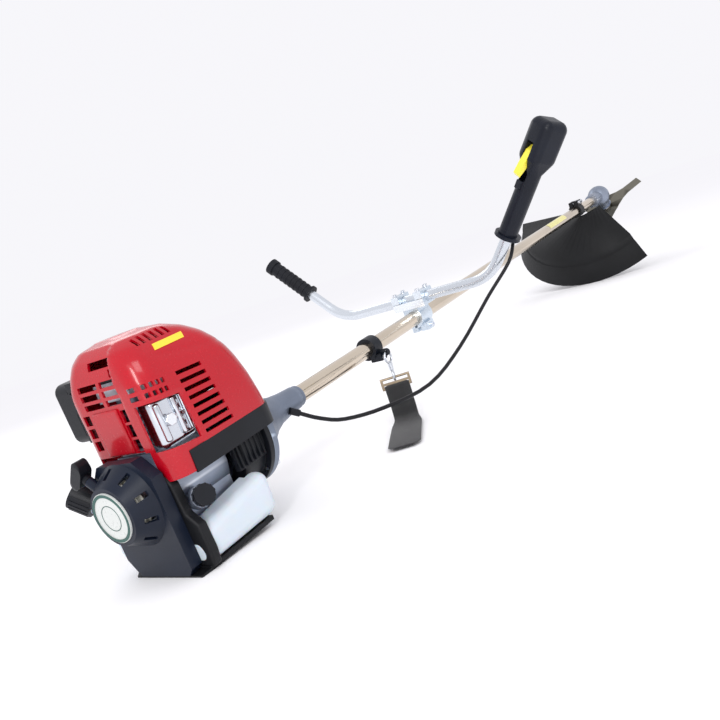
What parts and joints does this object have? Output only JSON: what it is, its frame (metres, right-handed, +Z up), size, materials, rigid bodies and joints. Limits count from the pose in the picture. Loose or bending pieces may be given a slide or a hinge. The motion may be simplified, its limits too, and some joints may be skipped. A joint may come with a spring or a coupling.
{
  "type": "brush cutter",
  "caption": "Brush cutter: four-stroke engine, straight shaft, two-handed bar with throttle grip, bevel gear head, three-arm blade and blade guard.",
  "frame": {"origin": "middle of the level heel under the engine's stand, on the ground", "axes": "+X along the machine from the engine towards the blade, +Y the operator's left, +Z up; the machine lies at rest on the stand's heel and the guard's rim"},
  "size_m": [2.0022, 0.6628, 0.3932],
  "materials": {
    "stand_plastic": "moulded, satin",
    "tank_plastic": "translucent milk white",
    "black_plastic": "fine grain",
    "starter_plastic": "blue black, satin",
    "badge": "plain disc",
    "cast_alloy": "die cast",
    "housing_alloy": "painted die cast",
    "steel": "machined",
    "clutch_lining": "friction lining",
    "porcelain": "glazed",
    "muffler_metal": "ribbed, bright",
    "black_rubber": "moulded",
    "bulb_rubber": "clear",
    "foam": "open foam",
    "hood_red": "high gloss",
    "pulley_nylon": "moulded",
    "rope_fibre": "braided",
    "tube_metal": "polished",
    "bushing_rubber": "moulded",
    "screw_steel": "zinc plated",
    "hanger_plastic": "glass filled",
    "buckle_metal": "dull tan plating",
    "webbing": "woven",
    "bright_cast": "bright die cast",
    "bar_metal": "satin",
    "grip_plastic": "fine grain",
    "trigger_yellow": "moulded",
    "cable_jacket": "smooth",
    "blade_steel": "dark, rolled",
    "guard_plastic": "matt"
  },
  "bodies": {
    "machine": {"engine_stand": "stand_plastic", "fuel_tank": "tank_plastic", "crankcase": "cast_alloy", "connecting_rod": "steel", "piston": "steel", "engine_cylinder": "cast_alloy", "rocker_cover": "black_plastic", "spark_plug": "porcelain", "plug_cap": "black_rubber", "muffler": "muffler_metal", "carburettor": "cast_alloy", "air_cleaner_case": "black_plastic", "air_filter": "foam", "air_cleaner_cover": "black_plastic", "top_cover": "hood_red", "lower_shroud": "black_plastic", "fan_cover": "black_plastic", "clutch_housing": "housing_alloy", "shaft_bearings": "steel", "recoil_housing": "starter_plastic", "centre_badge": "badge", "main_tube": "tube_metal", "shaft_bushings": "bushing_rubber", "clamp_screws": "screw_steel", "hanger_clamp": "hanger_plastic", "bar_bracket": "bright_cast", "bar_caps": "bright_cast", "handlebar": "bar_metal", "left_grip": "black_rubber", "grip_shell_rear": "grip_plastic", "grip_shell_front": "grip_plastic", "throttle_cable": "cable_jacket", "cable_boots": "black_rubber", "gear_case": "cast_alloy", "guard": "guard_plastic", "guard_bracket": "guard_plastic"},
    "crank": {"crankshaft": "steel", "flywheel": "steel", "clutch_shoes": "clutch_lining"},
    "drive_line": {"drive_shaft": "steel", "clutch_drum": "steel", "bevel_pinion": "steel"},
    "blade_set": {"output_shaft": "steel", "blade_flanges": "steel", "blade": "blade_steel", "blade_nut": "steel"},
    "starter_grip": {"starter_handle": "black_plastic", "starter_rope": "rope_fibre"},
    "starter_pulley": {"recoil_pulley": "pulley_nylon"},
    "trigger": {"throttle_trigger": "trigger_yellow"},
    "carburettor_lever": {"carb_lever": "steel"},
    "trigger_lock": {"throttle_lock": "grip_plastic"},
    "engine_switch": {"stop_switch": "grip_plastic"},
    "choke": {"choke_lever": "black_plastic"},
    "primer": {"primer_bulb": "bulb_rubber"},
    "tank_cap": {"fuel_cap": "black_plastic"},
    "oil_cap": {"oil_filler_cap": "black_plastic"},
    "harness": {"harness_hook": "screw_steel", "strap_buckle": "buckle_metal", "harness_strap": "webbing"}
  },
  "joints": [
    {"name": "crank_spin", "type": "hinge", "parent": "machine", "child": "crank", "pos_m": [0.09453, 0, 0.10151], "axis": [0.9971, 0, 0.0763], "continuous": true},
    {"name": "blade_spin", "type": "hinge", "parent": "machine", "child": "blade_set", "pos_m": [1.8875, 0, 0.19976], "axis": [0.6344, 0, -0.773], "continuous": true},
    {"name": "drive_spin", "type": "hinge", "parent": "machine", "child": "drive_line", "pos_m": [0.9919, 0, 0.17022], "axis": [0.9971, 0, 0.0763], "continuous": true},
    {"name": "starter_pull", "type": "slide", "parent": "machine", "child": "starter_grip", "axis": [-0.0501, 0.7547, 0.6541], "range_m": [0, 0.7], "stiffness_N_per_m": 12, "springref_m": -0.5},
    {"name": "pulley_spin", "type": "hinge", "parent": "machine", "child": "starter_pulley", "pos_m": [-0.02512, 0, 0.09235], "axis": [0.9971, 0, 0.0763], "range_deg": [0, 1182]},
    {"name": "throttle_pull", "type": "hinge", "parent": "machine", "child": "trigger", "pos_m": [0.64571, -0.30676, 0.34558], "axis": [-0.4547, -0.6486, -0.6103], "range_deg": [0, 16], "stiffness_Nm_per_rad": 0.4, "springref_deg": -8.59},
    {"name": "carb_turn", "type": "hinge", "parent": "machine", "child": "carburettor_lever", "pos_m": [0.04218, 0.054, 0.19579], "axis": [-0.0763, 0, 0.9971], "range_deg": [-0.1, 64.1]},
    {"name": "lock_press", "type": "slide", "parent": "machine", "child": "trigger_lock", "axis": [0.8888, -0.3745, -0.2642], "range_m": [0, 0.003], "stiffness_N_per_m": 400, "springref_m": -0.002},
    {"name": "stop_slide", "type": "slide", "parent": "machine", "child": "engine_switch", "axis": [-0.0572, -0.6626, 0.7468], "range_m": [0, 0.006]},
    {"name": "choke_turn", "type": "hinge", "parent": "machine", "child": "choke", "pos_m": [0.01496, 0.084, 0.22379], "axis": [0.9971, 0, 0.0763], "range_deg": [0, 75]},
    {"name": "primer_press", "type": "slide", "parent": "machine", "child": "primer", "axis": [-0.0763, 0, 0.9971], "range_m": [0, 0.0035], "stiffness_N_per_m": 300, "springref_m": -0.001},
    {"name": "tank_cap_turn", "type": "hinge", "parent": "machine", "child": "tank_cap", "pos_m": [-0.00817, 0.09831, 0.10428], "axis": [-0.3858, 0.6717, 0.6324], "range_deg": [0, 360]},
    {"name": "oil_cap_turn", "type": "hinge", "parent": "machine", "child": "oil_cap", "pos_m": [0.02221, -0.07566, 0.08222], "axis": [-0.3805, -0.8956, 0.2304], "range_deg": [0, 360]},
    {"name": "hook_swing", "type": "hinge", "parent": "machine", "child": "harness", "pos_m": [0.49635, -0.029, 0.11924], "axis": [1, 0, 0], "range_deg": [-35, 22]}
  ],
  "couplings": [
    {"joint": "drive_spin", "follows": "blade_spin", "ratio": -1.3571},
    {"joint": "pulley_spin", "follows": "starter_pull", "rad_per_m": 29.412},
    {"joint": "carb_turn", "follows": "throttle_pull", "ratio": 4}
  ]
}
